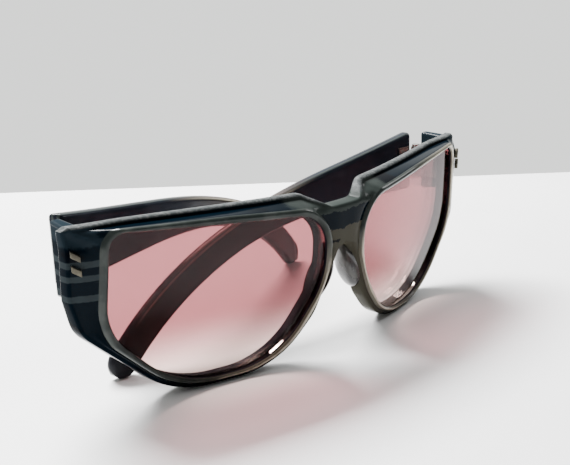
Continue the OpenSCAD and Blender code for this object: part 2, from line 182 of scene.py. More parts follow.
def half_outline():
    """One half of the outline of the front, from the nose arch round by the rim."""
    points = [(0, ARCH_H), (ARCH_HALF, ARCH_H), NOSE_LOW, (EYE_X + RIM_IN_SHARE * EYE_W, 0),
              (EYE_X + RIM_OUT_SHARE * EYE_W, 0), CHEEK, (FRONT_W / 2, END_FOOT_H),
              (FRONT_W / 2, BROW_END_H), (STEP_X, BROW_MID_H), (BRIDGE_X, BRIDGE_H),
              (0, BRIDGE_H)]
    rim_r = RIM_R_SHARE * EYE_H
    radii = [0, ARCH_R, NOSE_R, rim_r, rim_r, CHEEK_R, END_FOOT_R, END_TOP_R, STEP_R, BRIDGE_R, 0]
    return rounded([Vector(p) for p in points], radii)


# The face of the front: how far back it lies, and how deep the shell is behind it

BROW_FADE, END_FROM_SHARE, END_TO_SHARE = 0.7, 0.38, 0.48


def face_y(p):
    """Depth of the crest of the bead, the foremost part, at a place in the front view."""
    dz = p.y - EYE_MID.y
    return (math.tan(WRAP_ANGLE) * (math.hypot(p.x, WRAP_BLEND) - WRAP_BLEND)
            + p.x * p.x / WRAP_BEND - math.tan(LEAN_ANGLE) * dz + dz * dz / LEAN_BEND)


def end_share(p):
    return ease(ramp(p.x / FRONT_W, END_FROM_SHARE, END_TO_SHARE))


def brow_share(p):
    return ease(ramp(p.y, BRIDGE_H, BROW_MID_H)) * (1 - BROW_FADE * end_share(p))


def face_drop(p):
    return (RIM_DROP + (BROW_DROP - RIM_DROP) * brow_share(p)
            + END_FACE_DROP * end_share(p) * ramp(p.y, CHEEK.y, END_FOOT_H))


def back_depth(p):
    return RIM_DEPTH + (BROW_DEPTH - RIM_DEPTH) * brow_share(p)


def spot(p, back):
    return Vector((p.x, face_y(p) + back - Y_MID, p.y))


# Stations round one opening, where the sections of the rim stand

SEAM_STEPS, STATION_DEGREES = 8, 2
LEAST_ANGLE, ON_SEAM, RAY_SLACK, PARALLEL = 0.004, 0.05 * MM, 1e-3, 1e-12


def reach(outline, angle):
    """The farthest point of an outline from the middle of the opening, at an angle."""
    d = Vector((math.cos(angle), math.sin(angle)))
    best = 0.0
    for i, q in enumerate(outline):
        p, e = q - EYE_MID, outline[(i + 1) % len(outline)] - q
        k = d.cross(e)
        if abs(k) > PARALLEL and -RAY_SLACK < p.cross(d) / k < 1 + RAY_SLACK:
            best = max(best, p.cross(e) / k)
    return EYE_MID + d * best


def bearing(p):
    return math.atan2(p.y - EYE_MID.y, p.x - EYE_MID.x) % (2 * math.pi)


def stations():
    """Inner and outer points of the rim at the same angles round one opening."""
    inner, outer = eye_outline(), half_outline()
    seam = [Vector((0, mix(ARCH_H, BRIDGE_H, k / SEAM_STEPS))) for k in range(SEAM_STEPS + 1)]
    low, high = bearing(seam[-1]), bearing(seam[0])
    angles = {bearing(p) for p in inner + outer}
    angles |= {math.radians(a) for a in range(0, 360, STATION_DEGREES)}
    # keeps clear of the seam, whose stations are set by height
    angles = sorted(a for a in angles if a < low - LEAST_ANGLE or a > high + LEAST_ANGLE)
    spaced = [a for i, a in enumerate(angles) if i == 0 or a - angles[i - 1] > LEAST_ANGLE]
    spaced = sorted(spaced + [bearing(p) for p in seam])
    ins = [reach(inner, a) for a in spaced]
    outs = [reach(outer, a) for a in spaced]
    for p in outs:
        if abs(p.x) < ON_SEAM:
            p.x = 0
    return ins, outs


def normals(points, keep_seam=False):
    """Outward normals along an outline; at the seam's ends they stand straight up or down."""
    result = []
    n = len(points)
    for i, p in enumerate(points):
        before, after = points[i - 1], points[(i + 1) % n]
        if keep_seam and p.x == 0:
            result.append(Vector((0, -1)) if p.y < (ARCH_H + BRIDGE_H) / 2 else Vector((0, 1)))
            continue
        if keep_seam and before.x == 0:
            before = p
        if keep_seam and after.x == 0:
            after = p
        e = (after - before).normalized()
        result.append(Vector((e.y, -e.x)))
    return result


# The front, one shell with a lug behind each end

EDGE_R, BROW_EDGE_R, BACK_R, INNER_R = 0.9 * MM, 1.3 * MM, 0.8 * MM, 0.5 * MM
BEAD_H, BEAD_W, BEAD_SHARE, LEAST_SLANT = 0.65 * MM, 1.9 * MM, 0.54, 0.6
BEAD_FULLNESS, CREASE, CREASE_FADE = 0.7, 0.3 * MM, 4
BEAD_STEPS, FACE_STEPS, FILLET_STEPS = 12, 4, 5
INNER_SHARES, GROOVE_POINTS = (1.0, 0.3, 0.0), 4
MERGE_DIST, NO_LENGTH = 2e-6, 1e-7
FACE_SKIN, BEAD_SKIN, INSIDE_SKIN, EDGE_SKIN, LUG_SKIN = range(5)

LUG_IN, LUG_SINK, LUG_CUT, LUG_TAPER, LUG_R = 3 * MM, 1.5 * MM, 0.6 * MM, 1.2 * MM, 0.75 * MM
# the edges sunk in the end piece stay sharp
LUG_SEGMENTS, LUG_PLAIN_LEN = 4, 1 * MM


def spread(direction, along, back):
    """A shift along a direction of the front view, and back."""
    return Vector((direction.x * along, back, direction.y * along))


def quarter_turn(steps):
    return [math.pi / 2 * k / steps for k in range(steps + 1)]


def rim_section(a, b, n_in, n_out, seam_middle):
    """One section of the rim: bead, face, outer edge, back, and the groove for the lens."""
    u = (b - a).normalized()
    w = min(BEAD_W / max(LEAST_SLANT, u.dot(n_in)), BEAD_SHARE * (b - a).length)
    edge_r = 0 if seam_middle else mix(EDGE_R, BROW_EDGE_R, brow_share(b))
    back_r = 0 if seam_middle else BACK_R
    face, back = face_drop(b), back_depth(b)
    rows = []
    for k in range(BEAD_STEPS + 1):
        t = k / BEAD_STEPS
        drop = BEAD_H if t < 0.5 else BEAD_H + CREASE
        rows.append(spot(a + u * w * t, drop * (1 - math.sin(math.pi * t) ** BEAD_FULLNESS)))
    foot, edge = a + u * w, b - n_out * edge_r
    for k in range(1, FACE_STEPS):
        t = k / FACE_STEPS
        start = BEAD_H + CREASE * (1 - t) ** CREASE_FADE
        rows.append(spot(foot.lerp(edge, t), mix(start, max(face, BEAD_H), t)))
    for t in quarter_turn(FILLET_STEPS):
        rows.append(spot(b, face) + spread(n_out, -edge_r * (1 - math.sin(t)),
                                           edge_r * (1 - math.cos(t))))
    for t in quarter_turn(FILLET_STEPS):
        rows.append(spot(b, back) + spread(n_out, -back_r * (1 - math.cos(t)),
                                           -back_r * (1 - math.sin(t))))
    for share in INNER_SHARES:
        rows.append(spot(a + u * INNER_R * share, RIM_DEPTH - INNER_R * (1 - share) ** 2))
    behind, before = LENS_INSET + LENS_T + SEAT_GAP, LENS_INSET - SEAT_GAP
    rows += [spot(a, behind), spot(a + n_in * GROOVE, behind),
             spot(a + n_in * GROOVE, before), spot(a, before)]
    return rows


def skin_of(row, rows):
    """Which of the front's materials a row of its faces has."""
    if row < BEAD_STEPS:
        return BEAD_SKIN
    if row >= rows - len(INNER_SHARES) - GROOVE_POINTS:
        return INSIDE_SKIN
    return EDGE_SKIN if row > BEAD_STEPS + FACE_STEPS else FACE_SKIN


def build_front():
    """Both halves of the front, the left one first, as one closed mesh with its lugs."""
    ins, outs = stations()
    n_in, n_out = normals(ins), normals(outs, keep_seam=True)
    count = len(ins)
    seam = [i for i, p in enumerate(outs) if p.x == 0]
    middle = {i for i in seam if outs[i].y not in (outs[seam[0]].y, outs[seam[-1]].y)}
    sections = [rim_section(ins[i], outs[i], n_in[i], n_out[i], i in middle)
                for i in range(count)]
    rows = len(sections[0])
    mesh = bmesh.new()
    for side in (1, -1):
        verts = [[mesh.verts.new(mirrored(p, side)) for p in s] for s in sections]
        for i in range(count):
            for j in range(rows):
                k, m = (i + 1) % count, (j + 1) % rows
                quad = [verts[i][j], verts[k][j], verts[k][m], verts[i][m]]
                # the two halves are open to each other where they meet
                if all(abs(v.co.x) < NO_LENGTH for v in quad):
                    continue
                add_face(mesh, quad, side < 0).material_index = skin_of(j, rows)
    bmesh.ops.remove_doubles(mesh, verts=mesh.verts, dist=MERGE_DIST)
    bmesh.ops.dissolve_degenerate(mesh, edges=mesh.edges, dist=NO_LENGTH)
    bmesh.ops.recalc_face_normals(mesh, faces=mesh.faces)
    for side in (-1, 1):
        add_lug(mesh, side)
    return to_object("front_shell", mesh, sharp_angle=50)


def add_lug(mesh, side):
    """The block behind an end piece that carries the front leaf of its hinge."""
    pin = pin_of(side)
    near = Vector((FRONT_W / 2 - LUG_IN, HINGE_Z))
    front = face_y(near) + RIM_DEPTH - LUG_SINK - Y_MID
    rear = pin.y - LUG_GAP
    inner_x = abs(pin.x) + PIN_STAND
    profile = [(front, END_FOOT_H), (rear, HINGE_Z - TEMPLE_H / 2),
               (rear, HINGE_Z + TEMPLE_H / 2), (front, BROW_END_H - LUG_CUT)]
    ends = []
    for x, taper in ((inner_x, 0), (inner_x + TEMPLE_T, LUG_TAPER)):
        ends.append([mesh.verts.new((side * (x - (taper if y == rear else 0)), y, z))
                     for y, z in profile])
    faces = [mesh.faces.new(ends[0]), mesh.faces.new(ends[1][::-1])]
    for k in range(4):
        m = (k + 1) % 4
        faces.append(mesh.faces.new([ends[0][m], ends[0][k], ends[1][k], ends[1][m]]))
    for face in faces:
        face.material_index = LUG_SKIN
    if side < 0:
        bmesh.ops.reverse_faces(mesh, faces=faces)
    edges = {e for f in faces for e in f.edges
             if max(v.co.y for v in e.verts) > front + LUG_PLAIN_LEN}
    bevel_edges(mesh, list(edges), LUG_R, LUG_SEGMENTS)


# The shields: where the upper one lies, how far they are apart, and the shape of a plate

SHIELD_IN, SHIELD_UP, SHIELD_STEP = 2 * MM, 2.9 * MM, 3.3 * MM
SHIELD_TURN, SHIELD_SLANT = math.radians(30), 1.35 * MM
SHIELD_ALONG, SHIELD_BACK = (-1.85 * MM, 0.3 * MM), (-0.4 * MM, 0.6 * MM)
SHIELD_H, SHIELD_R, SHIELD_SEGMENTS = 1.45 * MM, 0.12 * MM, 3
BOX_FACES = ((0, 1, 3, 2), (4, 6, 7, 5), (0, 4, 5, 1), (2, 3, 7, 6), (1, 5, 7, 3), (0, 2, 6, 4))


def build_shields(side, name):
    """Two small slanted plates let into the face of an end piece."""
    p = Vector((FRONT_W / 2 - SHIELD_IN, HINGE_Z + SHIELD_UP))
    depth = face_y(p) + END_FACE_DROP - Y_MID
    cos_turn, sin_turn = math.cos(SHIELD_TURN), math.sin(SHIELD_TURN)
    mesh = bmesh.new()
    for plate in (0, 1):
        corners = []
        for along, tilt in zip(SHIELD_ALONG, (0.5, -0.5)):
            for back in SHIELD_BACK:
                for half in (-0.5, 0.5):
                    x = along * cos_turn + back * sin_turn - p.x
                    y = depth - along * sin_turn + back * cos_turn
                    z = p.y + SHIELD_SLANT * tilt + SHIELD_H * half - plate * SHIELD_STEP
                    corners.append(mesh.verts.new((-side * x, y, z)))
        for face in BOX_FACES:
            mesh.faces.new([corners[i] for i in face])
    bmesh.ops.recalc_face_normals(mesh, faces=mesh.faces)
    bevel_edges(mesh, list(mesh.edges), SHIELD_R, SHIELD_SEGMENTS)
    return to_object(name, mesh)


# Lenses and pads

LENS_RING_SHARES = (0.12, 0.25, 0.4, 0.55, 0.7, 0.82, 0.92, 1.0)
PAD_SINK, PAD_END_GAP, PAD_END_SHARE = 1.2 * MM, 0.2 * MM, 0.985
PAD_STEPS, PAD_ARC_STEPS = 28, 18


def build_lens(side, name):
    """A lens on the curve of the front, whose edge stands in the groove."""
    ins, _ = stations()
    edge = [a + n * (GROOVE - SEAT_GAP) for a, n in zip(ins, normals(ins))]
    rings = [[EYE_MID.lerp(p, share) for p in edge] for share in LENS_RING_SHARES]
    count = len(edge)
    mesh = bmesh.new()
    hubs, sheets = [], []
    for back in (LENS_INSET, LENS_INSET + LENS_T):
        hubs.append(mesh.verts.new(mirrored(spot(EYE_MID, back), side)))
        sheets.append([[mesh.verts.new(mirrored(spot(p, back), side)) for p in ring]
                       for ring in rings])
    for layer in (0, 1):
        flip = (layer == 1) != (side < 0)
        sheet = sheets[layer]
        for i in range(count):
            k = (i + 1) % count
            add_face(mesh, [hubs[layer], sheet[0][i], sheet[0][k]], flip)
            for a, b in zip(sheet, sheet[1:]):
                add_face(mesh, [a[i], b[i], b[k], a[k]], flip)
    front, back = sheets[0][-1], sheets[1][-1]
    for i in range(count):
        k = (i + 1) % count
        add_face(mesh, [front[i], back[i], back[k], front[k]], side < 0)
    return to_object(name, mesh)


def tangent_point(p, q, s, towards, radius):
    """Where the arc that rounds the corner q leaves the line from q towards a neighbour."""
    half = math.acos((p - q).normalized().dot((s - q).normalized())) / 2
    return q + (towards - q).normalized() * radius / math.tan(half)


def build_pad(side, name):
    """A bonded pad: half a lens shape on the straight side of the nose opening."""
    arch = Vector((ARCH_HALF, ARCH_H))
    rim_low = Vector((EYE_X + RIM_IN_SHARE * EYE_W, 0))
    high = tangent_point(Vector((0, ARCH_H)), arch, NOSE_LOW, NOSE_LOW, ARCH_R)
    low = tangent_point(arch, NOSE_LOW, rim_low, arch, NOSE_R)
    along = (high - low).normalized()
    low, high = low + along * PAD_END_GAP, high - along * PAD_END_GAP
    out = Vector((-along.y, along.x))
    mesh = bmesh.new()
    rings = []
    for k in range(PAD_STEPS + 1):
        t = PAD_END_SHARE * math.sin(math.pi * (k / PAD_STEPS - 0.5))
        r = math.sqrt(1 - t * t)
        c = low.lerp(high, (t + 1) / 2)
        ring = []
        for j in range(PAD_ARC_STEPS + 1):
            a = math.pi * j / PAD_ARC_STEPS
            back = RIM_DEPTH - PAD_SINK + (PAD_REACH + PAD_SINK) * r * math.cos(a)
            q = c + out * PAD_T * r * math.sin(a)
            ring.append(mesh.verts.new((side * q.x, face_y(c) + back - Y_MID, q.y)))
        rings.append(ring)
    bridge_rings(mesh, rings, side < 0)
    add_face(mesh, rings[0], side > 0)
    add_face(mesh, rings[-1], side < 0)
    bmesh.ops.recalc_face_normals(mesh, faces=mesh.faces)
    return to_object(name, mesh, sharp_angle=60)


def bridge_rings(mesh, rings, flip):
    """Faces between each ring of points and the next."""
    n = len(rings[0])
    for a, b in zip(rings, rings[1:]):
        for j in range(n):
            m = (j + 1) % n
            add_face(mesh, [a[j], b[j], b[m], a[m]], flip)


# Temples

ARM_STEPS, TIP_STEPS, TIP_ANGLE = 90, 12, math.radians(86)
TIP_R = TAIL_H / 2
TURN_POWER, NARROW_SHARE, NARROW_POWER = 1.6, 0.6, 1.5
MOST_SLOPE, SLOPE_HALVINGS = math.radians(12), 24
ARM_R, TAIL_R_MORE, MOST_H_SHARE, MOST_T_SHARE = 1.25 * MM, 0.4 * MM, 0.95, 0.48
ARM_ARC_STEPS, SAME_LENGTH = 5, 1e-9
# The rounded start of a temple: how far along, and how much smaller the section is there
LEAD = ((0.0, 0.72 * MM), (0.12 * MM, 0.32 * MM), (0.4 * MM, 0.08 * MM))
LEAD_LEN = 0.9 * MM


def arm_lengths():
    body = [(TEMPLE_LEN - TIP_R) * k / ARM_STEPS for k in range(ARM_STEPS + 1)]
    tip = [TEMPLE_LEN - TIP_R + TIP_R * math.sin(TIP_ANGLE * k / TIP_STEPS)
           for k in range(1, TIP_STEPS + 1)]
    return body + tip


def heading(s, slope):
    return slope + TAIL_TURN * ramp(s, STRAIGHT_LEN, TEMPLE_LEN) ** TURN_POWER


def lean_at(s, slope):
    return heading(s, slope) * ease(ramp(s, 0, LEAN_LEN))


def arm_half_h(s):
    narrowing = (1 - ramp(s, 0, NARROW_SHARE * TEMPLE_LEN)) ** NARROW_POWER
    body = TAIL_H + (TEMPLE_H - TAIL_H) * narrowing
    return body / 2 * math.sqrt(1 - ramp(s, TEMPLE_LEN - TIP_R, TEMPLE_LEN) ** 2)


def arm_path(slope):
    """The centre line of a temple, as distances along and above its hinge."""
    lengths = arm_lengths()
    points = [Vector((ARM_GAP, 0))]
    for s0, s1 in zip(lengths, lengths[1:]):
        a = heading((s0 + s1) / 2, slope)
        points.append(points[-1] + (s1 - s0) * Vector((math.cos(a), -math.sin(a))))
    return points


def arm_slope():
    """The slope at the hinge that brings the tail down to the table."""
    low, high = -MOST_SLOPE, MOST_SLOPE
    for _ in range(SLOPE_HALVINGS):
        mid = (low + high) / 2
        lowest = min(p.y - arm_half_h(s) * math.cos(lean_at(s, mid))
                     for p, s in zip(arm_path(mid), arm_lengths()))
        low, high = (mid, high) if lowest > -HINGE_Z else (low, mid)
    return (low + high) / 2


def arm_section(half_h, thickness, tail_share):
    """Rounded oblong across a temple, as (out, up) pairs."""
    r = min(ARM_R + TAIL_R_MORE * tail_share, half_h * MOST_H_SHARE, thickness * MOST_T_SHARE)
    points = []
    for cx, cz, start in ((thickness - r, -(half_h - r), -90), (thickness - r, half_h - r, 0),
                          (r, half_h - r, 90), (r, -(half_h - r), 180)):
        for k in range(ARM_ARC_STEPS + 1):
            a = math.radians(start + 90 * k / ARM_ARC_STEPS)
            points.append((cx + r * math.cos(a), cz + r * math.sin(a)))
    return points


def build_temple(side, fold, name):
    """A temple lofted along its centre line, closed and softly rounded at the hinge."""
    pin = pin_of(side)
    slope = arm_slope()
    path, lengths = arm_path(slope), arm_lengths()
    mesh = bmesh.new()
    rings = []
    for s, shrink in list(LEAD) + [(s, 0.0) for s in lengths if s > LEAD_LEN]:
        k = max(i for i, x in enumerate(lengths) if x <= s + SAME_LENGTH)
        p = path[k] + Vector((s - lengths[k], 0))
        a = lean_at(s, slope)
        thickness = mix(TEMPLE_T, TAIL_T, s / TEMPLE_LEN)
        ring = []
        for w, z in arm_section(arm_half_h(s), thickness, s / TEMPLE_LEN):
            w = mix(w, thickness / 2, shrink / (thickness / 2))
            z = z * (1 - shrink / arm_half_h(s))
            u, w, z = p.x + z * math.sin(a), PIN_STAND + w, HINGE_Z + p.y + z * math.cos(a)
            x = u * math.cos(fold) - w * math.sin(fold)
            y = u * math.sin(fold) + w * math.cos(fold)
            ring.append(mesh.verts.new((pin.x - side * x, pin.y + y, z)))
        rings.append(ring)
    bridge_rings(mesh, rings, side < 0)
    add_face(mesh, rings[0])
    add_face(mesh, rings[-1])
    bmesh.ops.recalc_face_normals(mesh, faces=mesh.faces)
    return to_object(name, mesh, sharp_angle=50)


# Grains of noise: scale, stretch along x, y and z, detail and roughness
GRAINS = {
    "layer_patches": (30, (1.0, 0.7, 4.2), 3.0, 0.6),
    "dark_spots": (55, (1, 0.8, 3.0), 2.0, 0.5),
    "bead_streaks": (120, (1, 1, 1), 3.0, 0.6),
    "bead_crest": (75, (1, 1, 1), 3.0, 0.6),
    # sparkles in the painted highlight on the brow's top edge
    "highlight_sparkles": (1300, (0.8, 0.8, 1), 2.0, 0.6),
    "inside_cloud": (140, (1, 1, 1), 3.0, 0.6),
    "temple_layers": (160, (1, 1, 1), 4.0, 0.7),
    "temple_cloud": (26, (1, 1, 3.0), 3.0, 0.6),
    "smears": (90, (1, 1, 2.5), 5.0, 0.6),
    "scratches": (700, (1, 1, 1), 2.0, 0.5),
    "tint_cloud": (18, (1, 1, 1), 2.0, 0.5),
    "dust": (150, (1, 1, 1), 2.0, 0.5),
    "pad_veins": (70, (1, 1, 0.5), 4.0, 0.65),
    "drawn_lines": (900, (0.12, 0.12, 3.0), 3.0, 0.6),
    "metal_wear": (240, (1, 1, 1), 3.0, 0.6),
    "table_cloud": (6, (1, 1, 1), 3.0, 0.5),
}

# Where a mask made from a grain starts and where it is full
CUTS = {
    "layer_patches": (0.36, 0.41), "dark_spots": (0.55, 0.62), "bead_streaks": (0.42, 0.62),
    "bead_crest": (0.36, 0.5), "highlight_sparkles": (0.42, 0.66), "inside_cloud": (0.4, 0.6),
    "temple_cloud": (0.44, 0.56), "dust": (0.66, 0.74), "pad_veins": (0.4, 0.6),
    "metal_wear": (0.45, 0.65), "table_cloud": (0.35, 0.65),
}

# Where a mask starts and where it is full, in mm of height or of distance from the middle
PLACES = {
    "end_corner_out": (64.6, 65.4), "end_corner_up": (40.8, 41.6), "near_bridge": (19, 15),
    "above_block": (38.1, 38.3), "below_smoke": (38.3, 38.1), "below_block": (33.8, 33.6),
    "vein_side": (-2, -3), "nose_in": (34, 16), "nose_down": (29.5, 24), "rim_foot_shade": (4.2, 1.5),
    "beige_and_lit_in": (46, 22), "beige_and_lit_down": (33, 22), "beige_and_lit_far_rim": (30, 60), "brow_top": (40.5, 42),
    "temple_tail": (40, 75), "temple_tip": (105, 112), "tint": (-3, 20), "glaze": (2, 34),
}

# The same for how far a surface faces up or out, as parts of its normal
FACINGS = {"bead_front": (-0.72, -0.92), "brow_up": (0.35, 0.7), "temple_up": (0.25, 0.5),
           "temple_out": (0.5, 0.8)}

# Detail and roughness of the noise that tears an edge
TORN = (4.0, 0.7)
# Places of the colour sockets of a mix node, which share their names with others
MIX_FIRST, MIX_SECOND, MIX_RESULT = 6, 7, 2


class Shader:
    """A short way to lay out the nodes of one material."""

    def __init__(self, name):
        self.material = bpy.data.materials.new(name)
        self.material.use_nodes = True
        self.nodes = self.material.node_tree.nodes
        self.links = self.material.node_tree.links
        self.surface = self.nodes["Principled BSDF"]
        self.output = self.nodes["Material Output"]
        coordinates = self.add("ShaderNodeTexCoord")
        self.place = coordinates.outputs["Object"]
        self.x, self.y, self.z = self.split(self.place)
        _, self.ny, self.nz = self.split(coordinates.outputs["Normal"])

    def add(self, kind, **settings):
        node = self.nodes.new(kind)
        for key, value in settings.items():
            setattr(node, key, value)
        return node

    def split(self, vector):
        node = self.add("ShaderNodeSeparateXYZ")
        self.links.new(vector, node.inputs[0])
        return node.outputs

    def feed(self, socket, value):
        if isinstance(value, bpy.types.NodeSocket):
            self.links.new(value, socket)
        else:
            socket.default_value = value

    def set(self, **values):
        """Sockets of the surface shader, such as Base_Color, from a value or another node."""
        for key, value in values.items():
            self.feed(self.surface.inputs[key.replace("_", " ")], value)

    def math(self, operation, a, b=0.0, clamp=False):
        node = self.add("ShaderNodeMath", operation=operation, use_clamp=clamp)
        self.feed(node.inputs[0], a)
        self.feed(node.inputs[1], b)
        return node.outputs[0]

    def both(self, a, b):
        return self.math("MULTIPLY", a, b)

    def either(self, a, b):
        return self.math("MAXIMUM", a, b)

    def between(self, value, low, high):
        """A value from 0 to 1 laid out from low to high."""
        node = self.add("ShaderNodeMapRange")
        self.feed(node.inputs["Value"], value)
        self.feed(node.inputs["To Min"], low)
        self.feed(node.inputs["To Max"], high)
        return node.outputs[0]

    def step(self, value, low, high):
        """0 before low and 1 past high, eased between; low may lie above high."""
        node = self.add("ShaderNodeMapRange", interpolation_type="SMOOTHSTEP")
        self.feed(node.inputs["Value"], value)
        first, last, flip = (low, high, False) if low < high else (high, low, True)
        self.feed(node.inputs["From Min"], first)
        self.feed(node.inputs["From Max"], last)
        self.feed(node.inputs["To Min"], 1.0 if flip else 0.0)
        self.feed(node.inputs["To Max"], 0.0 if flip else 1.0)
        return node.outputs[0]

    def band(self, value, low, high, soft):
        return self.both(self.step(value, low - soft, low + soft),
                         self.step(value, high + soft, high - soft))

    def past(self, value, name):
        low, high = PLACES[name]
        return self.step(value, low * MM, high * MM)

    def facing(self, value, name):
        return self.step(value, *FACINGS[name])

    def noise(self, scale, stretch, detail, roughness):
        mapping = self.add("ShaderNodeMapping")
        self.links.new(self.place, mapping.inputs["Vector"])
        mapping.inputs["Scale"].default_value = stretch
        node = self.add("ShaderNodeTexNoise")
        self.links.new(mapping.outputs[0], node.inputs["Vector"])
        node.inputs["Scale"].default_value = scale
        node.inputs["Detail"].default_value = detail
        node.inputs["Roughness"].default_value = roughness
        return node.outputs[0]

    def grain(self, name):
        return self.noise(*GRAINS[name])

    def mottle(self, name):
        """A mask of patches, cut from a grain."""
        return self.step(self.grain(name), *CUTS[name])

    def swing(self, noise, amount):
        """A noise turned into lengths on both sides of zero."""
        return self.math("MULTIPLY", self.math("SUBTRACT", noise, 0.5), amount)

    def wobble(self, value, amount, scale, stretch=(1, 1, 1)):
        """A coordinate pushed about by noise, for ragged edges."""
        return self.math("ADD", value, self.swing(self.noise(scale, stretch, *TORN), amount))

    def blend(self, factor, a, b):
        """From colour a to colour b; either may be a plain colour or another node's."""
        node = self.add("ShaderNodeMix", data_type="RGBA")
        self.feed(node.inputs["Factor"], factor)
        for place, value in ((MIX_FIRST, a), (MIX_SECOND, b)):
            is_link = isinstance(value, bpy.types.NodeSocket)
            self.feed(node.inputs[place], value if is_link else (*value, 1.0))
        return node.outputs[MIX_RESULT]

    def bump(self, height, strength, distance):
        node = self.add("ShaderNodeBump")
        node.inputs["Strength"].default_value = strength
        node.inputs["Distance"].default_value = distance
        self.feed(node.inputs["Height"], height)
        self.links.new(node.outputs[0], self.surface.inputs["Normal"])


# Plastic of the front

PLASTIC_IOR = 1.45
NAVY, DEEP = (0.0011, 0.0036, 0.0064), (0.0008, 0.0015, 0.003)
SMOKE, SMOKE_LIGHT = (0.022, 0.027, 0.025), (0.038, 0.044, 0.040)
# the bead's beige is partly its own colour and partly painted highlight, and the cream is a
# painted highlight
OLIVE, BEIGE_AND_HIGHLIGHT, HIGHLIGHT_CREAM = (0.042, 0.040, 0.030), (0.12, 0.11, 0.085), (0.55, 0.51, 0.41)
STRIPE, CORNER = (0.019, 0.025, 0.028), (0.009, 0.015, 0.020)
# a painted highlight along the top of the brow: grey, and its brighter sparkles
TOP_HIGHLIGHT, TOP_HIGHLIGHT_SPARKLE = (0.055, 0.060, 0.061), (0.105, 0.11, 0.11)
INSIDE, INSIDE_DARK = (0.016, 0.014, 0.018), (0.007, 0.006, 0.009)
# Shine of the front's materials; low ones keep the white table out of dark walls
FACE_GLOSS, BEAD_GLOSS, EDGE_GLOSS, LUG_GLOSS, INSIDE_GLOSS = 0.03, 0.14, 0.006, 0.001, 0.001
BEAD_COVER = 0.9
SMOOTH_ROUGH, INSIDE_ROUGH = (0.05, 0.13), (0.35, 0.5)
TEMPLE_ROUGH, PAD_ROUGH = (0.07, 0.17), (0.08, 0.2)
SCRATCH_STRENGTH, LINE_STRENGTH, BUMP_DEPTH = 0.02, 0.15, 0.00005
# The torn edges of the layers: how far they swing, scale and stretch of the noise
TEAR_Z, TEAR_Z_FINE = (3.2 * MM, 300, (0.6, 0.3, 0.4)), (1.3 * MM, 1500, (0.8, 0.5, 0.5))
TEAR_X = (5.0 * MM, 300, (1, 0.3, 1.6))
STRIPE_TEAR, STRIPE_END_TEAR = (0.8 * MM, 500, (0.5, 0.3, 1)), (3 * MM, 350)
# Pale stripes across an end piece, in mm: lower edge, upper edge, where they start
STRIPES = ((36.3, 37.8, 62.5), (33.1, 34.5, 60.5), (28.4, 29.9, 63.5))
STRIPE_SOFT, STRIPE_START_LEN = 0.12 * MM, 0.5
VEIN_LOW, VEIN_HIGH, VEIN_SOFT = 30.2 * MM, 30.8 * MM, 0.1 * MM


def polish(shader, roughness=SMOOTH_ROUGH):
    """The handled gloss of old acetate: fine scratches and faint smears."""
    shader.set(Roughness=shader.between(shader.grain("smears"), *roughness))
    shader.bump(shader.grain("scratches"), SCRATCH_STRENGTH, BUMP_DEPTH)


def end_stripes(s, ax):
    """Two bars beside the shields and one below them."""
    stripes = None
    for low, high, start in STRIPES:
        bar = s.both(s.band(s.wobble(s.z, *STRIPE_TEAR), low * MM, high * MM, STRIPE_SOFT),
                     s.step(s.wobble(ax, *STRIPE_END_TEAR), start * MM,
                            (start + STRIPE_START_LEN) * MM))
        stripes = bar if stripes is None else s.either(stripes, bar)
    return stripes


def laminate(s, ax):
    """The colour of the layers: long dark patches in a smoky ground, olive by the nose, and
    painted shade on the down-facing foot of the rim.
    """
    z = s.wobble(s.wobble(s.z, *TEAR_Z), *TEAR_Z_FINE)
    x = s.wobble(ax, *TEAR_X)
    base = s.blend(s.mottle("layer_patches"), SMOKE, NAVY)
    base = s.blend(s.mottle("dark_spots"), base, DEEP)
    base = s.blend(end_stripes(s, ax), base, STRIPE)
    end_corner = s.both(s.past(x, "end_corner_out"), s.past(z, "end_corner_up"))
    base = s.blend(end_corner, base, CORNER)
    # the bridge: smoky top, a dark block with ragged edges, olive with a vein below it
    near = s.past(x, "near_bridge")
    base = s.blend(s.both(near, s.past(z, "above_block")), base, SMOKE)
    base = s.blend(s.both(near, s.past(z, "below_smoke")), base, NAVY)
    base = s.blend(s.both(near, s.past(z, "below_block")), base, OLIVE)
    vein = s.both(s.band(z, VEIN_LOW, VEIN_HIGH, VEIN_SOFT), s.past(s.x, "vein_side"))
    base = s.blend(s.both(near, vein), base, DEEP)
    base = s.blend(s.both(s.past(ax, "nose_in"), s.past(z, "nose_down")), base, OLIVE)
    # painted shade: the foot of the rim, which faces down, is painted near black
    return s.blend(s.past(s.z, "rim_foot_shade"), base, DEEP)


def bead_colour_and_highlight(s, ax, base):
    """The bead is paler than the face. By the nose it is beige, partly its own colour and partly
    painted highlight. On the outer rim of the wearer's left lens it carries a painted beige
    highlight. In both places a painted cream highlight line runs along its front-facing crest.
    """
    tint = s.blend(s.mottle("bead_streaks"), SMOKE, SMOKE_LIGHT)
    # painted highlight: beige by the nose, partly the bead's own colour, and beige on the outer
    # rim of the wearer's left lens
    beige_and_lit_by_nose = s.both(s.past(ax, "beige_and_lit_in"), s.past(s.z, "beige_and_lit_down"))
    beige_and_lit = s.either(beige_and_lit_by_nose, s.past(s.x, "beige_and_lit_far_rim"))
    tint = s.blend(beige_and_lit, tint, BEIGE_AND_HIGHLIGHT)
    # a painted cream highlight along the front-facing crest, broken by noise
    crest = s.both(s.facing(s.ny, "bead_front"), s.mottle("bead_crest"))
    tint = s.blend(s.both(beige_and_lit, crest), tint, HIGHLIGHT_CREAM)
    return s.blend(BEAD_COVER, base, tint)


